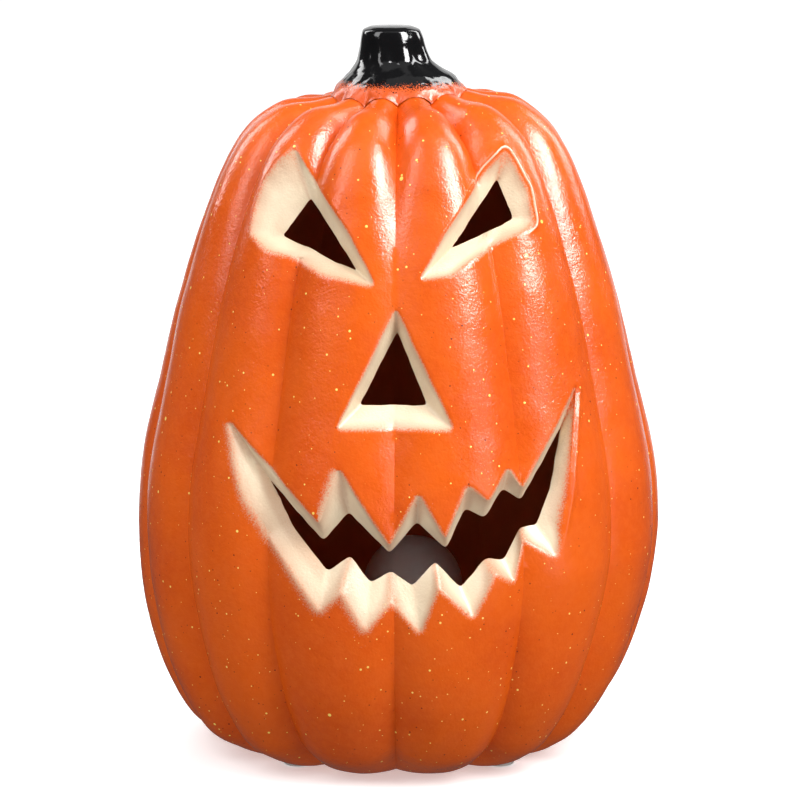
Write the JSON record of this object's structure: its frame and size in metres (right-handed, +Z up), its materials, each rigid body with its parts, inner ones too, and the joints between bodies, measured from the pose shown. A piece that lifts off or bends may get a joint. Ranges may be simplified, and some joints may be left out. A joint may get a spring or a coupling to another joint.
{
  "type": "jack-o'-lantern figure",
  "caption": "Hollow lobed ceramic pumpkin with a carved grinning face, a black stem and a battery light unit set into its base.",
  "frame": {"origin": "on the surface that the foot pads stand on, under the middle of the body", "axes": "+Z up, the carved face looks along -Y, +X to the viewer's right"},
  "size_m": [0.1837, 0.1809, 0.2538],
  "materials": {
    "orange_glaze": "satin orange glaze with gold and dark specks; cream overspray in the cut faces",
    "black_glaze": "gloss black glaze on the stem, orange on its collar",
    "black_plastic": "fine textured black ABS",
    "frosted_plastic": "frosted warm grey diffuser",
    "rubber": "soft matt rubber",
    "clear_rubber": "clear silicone bumper",
    "steel": "zinc plated",
    "nickel": "bright nickel plate",
    "cell_jacket": "printed cell jacket, no marks",
    "board": "green solder mask",
    "led_resin": "amber tinted clear resin",
    "red_pvc": "red wire jacket",
    "black_pvc": "black wire jacket",
    "white_plastic": "white switch knob"
  },
  "bodies": {
    "root": {"pumpkin_body": "orange_glaze", "stem": "black_glaze", "foot_pad_1": "clear_rubber", "foot_pad_2": "clear_rubber", "foot_pad_3": "clear_rubber", "foot_pad_4": "clear_rubber", "light_housing": "black_plastic", "gasket_ring": "rubber", "battery_1": "cell_jacket", "contact_spring_1": "nickel", "contact_plate_1": "nickel", "led_1": "led_resin", "cover_screw_1": "steel", "battery_2": "cell_jacket", "contact_spring_2": "nickel", "contact_plate_2": "nickel", "led_2": "led_resin", "cover_screw_2": "steel", "battery_3": "cell_jacket", "contact_spring_3": "nickel", "contact_plate_3": "nickel", "led_3": "led_resin", "cover_screw_3": "steel", "switch_body": "black_plastic", "circuit_board": "board", "timer_chip": "black_plastic", "wire_red": "red_pvc", "wire_black": "black_pvc", "diffuser_dome": "frosted_plastic", "light_cover": "black_plastic"},
    "battery_door": {"battery_door": "black_plastic", "battery_door_screw": "steel"},
    "switch_knob": {"switch_knob": "white_plastic"}
  },
  "joints": [
    {"name": "battery_door_hinge", "type": "hinge", "parent": "root", "child": "battery_door", "pos_m": [0, 0.0254, 0.0035], "axis": [1, 0, 0], "range_deg": [0, 75]},
    {"name": "switch_slide", "type": "slide", "parent": "root", "child": "switch_knob", "axis": [0, 1, 0], "range_m": [0, 0.004]}
  ]
}
